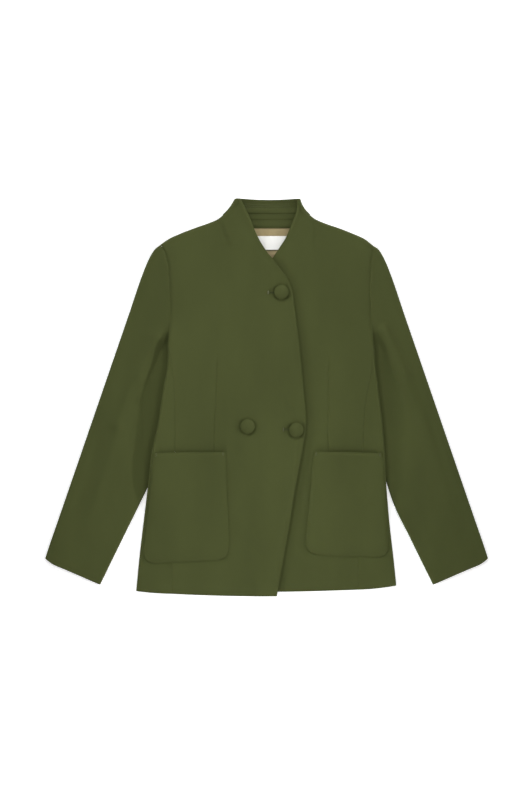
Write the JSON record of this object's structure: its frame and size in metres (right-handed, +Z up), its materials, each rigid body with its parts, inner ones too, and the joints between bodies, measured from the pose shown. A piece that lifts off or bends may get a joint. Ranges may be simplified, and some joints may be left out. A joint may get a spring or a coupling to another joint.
{
  "type": "blazer",
  "caption": "Stand-collar crossover blazer in olive wool cloth, laid flat face up, with set-in sleeves, patch pockets and cloth-covered buttons.",
  "frame": {"origin": "middle of the laid-out outline, on the surface it lies on", "axes": "+X to the wearer's left across the sleeves, +Y from hem to collar, +Z up from the surface"},
  "size_m": [0.7758, 0.6964, 0.0162],
  "materials": {
    "olive_wool": "matte fine wool crepe",
    "covered_button": "matte wool stretched over a dome",
    "beige_lining": "smooth satin lining",
    "white_label": "woven satin tape"
  },
  "bodies": {
    "root": {"front_right": "olive_wool", "front_left": "olive_wool", "side_right": "olive_wool", "side_left": "olive_wool", "back_right": "olive_wool", "back_left": "olive_wool", "sleeve_top_right": "olive_wool", "sleeve_top_left": "olive_wool", "sleeve_under_right": "olive_wool", "sleeve_under_left": "olive_wool", "collar_back": "olive_wool", "neck_facing": "olive_wool", "pocket_right": "olive_wool", "pocket_left": "olive_wool", "button_neck": "covered_button", "button_waist_right": "covered_button", "button_waist_left": "covered_button", "back_lining": "beige_lining", "neck_label": "white_label"}
  },
  "joints": []
}
